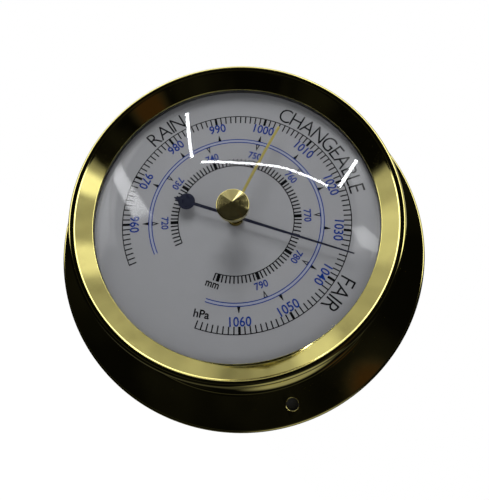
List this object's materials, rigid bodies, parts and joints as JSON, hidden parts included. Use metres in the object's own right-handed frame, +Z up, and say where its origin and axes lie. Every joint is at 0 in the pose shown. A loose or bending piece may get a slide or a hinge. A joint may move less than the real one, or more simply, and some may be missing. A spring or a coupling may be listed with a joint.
{
  "type": "wall barometer",
  "caption": "Round aneroid wall barometer in a polished brass case with a screw-on wall flange, domed glass, set hand and a working capsule movement.",
  "frame": {"origin": "centre of the wall flange's back, on the wall", "axes": "+Y into the wall, -Y out of the dial towards the viewer, +Z up to the top of the dial, +X to the viewer's right"},
  "size_m": [0.125, 0.0416, 0.125],
  "materials": {
    "polished_brass": "polished and lacquered, mirror bright",
    "plain_brass": "rolled sheet and turned bar, satin",
    "clear_glass": "clear, polished, domed",
    "gasket_plastic": "dark grey, smooth and glossy",
    "dial_print": "pale grey satin lacquer, printed in black and blue",
    "needle_paint": "blue-black, satin",
    "plated_steel": "zinc plated, satin",
    "spring_steel": "tempered, dark satin",
    "capsule_copper": "beryllium copper sheet, bright"
  },
  "bodies": {
    "root": {"case_body": "polished_brass", "dial_seat_ring": "plain_brass", "dial_plate": "dial_print", "glass_gasket": "gasket_plastic", "domed_glass": "clear_glass", "bezel_ring": "polished_brass", "glass_bush": "polished_brass", "bush_clip": "plated_steel", "back_cover": "plated_steel", "movement_plate": "plain_brass", "dial_pillars": "plain_brass", "dial_pillar_screws": "plated_steel", "screw_bush": "plain_brass", "capsule_foot": "plain_brass", "capsule_lower": "capsule_copper", "capsule_upper": "capsule_copper", "spring_bridge": "plated_steel", "main_spring": "spring_steel", "spring_clamp": "plated_steel", "clamp_screws": "plated_steel", "bearing_posts": "plain_brass", "pivot_screws": "plated_steel", "chain": "plated_steel", "arbor_pillars": "plain_brass", "top_plate": "plain_brass", "plate_screws": "plated_steel", "arbor_cock": "plain_brass", "cock_spacers": "plain_brass", "hairspring": "spring_steel", "hairspring_stud": "plain_brass"},
    "adjuster": {"adjusting_screw": "plated_steel"},
    "capsule_top": {"capsule_head": "plain_brass", "head_pin": "plated_steel"},
    "lever": {"lever": "plain_brass"},
    "rocker": {"rocking_shaft": "plated_steel", "link_arm": "plain_brass", "chain_arm": "plain_brass"},
    "link": {"link": "plated_steel"},
    "pointer": {"pointer_arbor": "plated_steel", "chain_drum": "plain_brass", "hairspring_collet": "plain_brass", "pointer_hub": "polished_brass", "needle": "needle_paint"},
    "set_hand": {"set_hand_knob": "polished_brass", "set_hand_spindle": "plated_steel", "set_hand_hub": "polished_brass", "set_hand": "polished_brass"}
  },
  "joints": [
    {"name": "pointer_turn", "type": "hinge", "parent": "root", "child": "pointer", "pos_m": [0, 0, 0], "axis": [0, 1, 0], "range_deg": [-222.75, 90.45], "deforming": ["hairspring", "chain"]},
    {"name": "rocking_turn", "type": "hinge", "parent": "root", "child": "rocker", "pos_m": [0.026, -0.0075, 0], "axis": [0, 0, 1], "range_deg": [-20.45, 8.3]},
    {"name": "link_swing", "type": "hinge", "parent": "rocker", "child": "link", "pos_m": [0.0305, -0.0075, 0], "axis": [0, 0, 1], "range_deg": [-8.3, 20.45]},
    {"name": "lever_swing", "type": "hinge", "parent": "root", "child": "lever", "pos_m": [-0.021, -0.01525, 0], "axis": [0, 0, 1], "range_deg": [-1.79, 0.73], "deforming": ["main_spring"]},
    {"name": "capsule_travel", "type": "slide", "parent": "root", "child": "capsule_top", "axis": [0, 1, 0], "range_m": [-0.000655, 0.000266], "deforming": ["capsule_upper"]},
    {"name": "set_hand_turn", "type": "hinge", "parent": "root", "child": "set_hand", "pos_m": [0, 0, 0], "axis": [0, 1, 0], "continuous": true},
    {"name": "adjuster_turn", "type": "hinge", "parent": "root", "child": "adjuster", "pos_m": [0, 0, 0], "axis": [0, 1, 0], "range_deg": [-180, 180]}
  ],
  "couplings": [
    {"joint": "rocking_turn", "follows": "pointer_turn", "ratio": 0.09},
    {"joint": "link_swing", "follows": "pointer_turn", "ratio": -0.09},
    {"joint": "lever_swing", "follows": "pointer_turn", "ratio": 0.0078641},
    {"joint": "capsule_travel", "follows": "pointer_turn", "m_per_rad": 0.00016515}
  ]
}
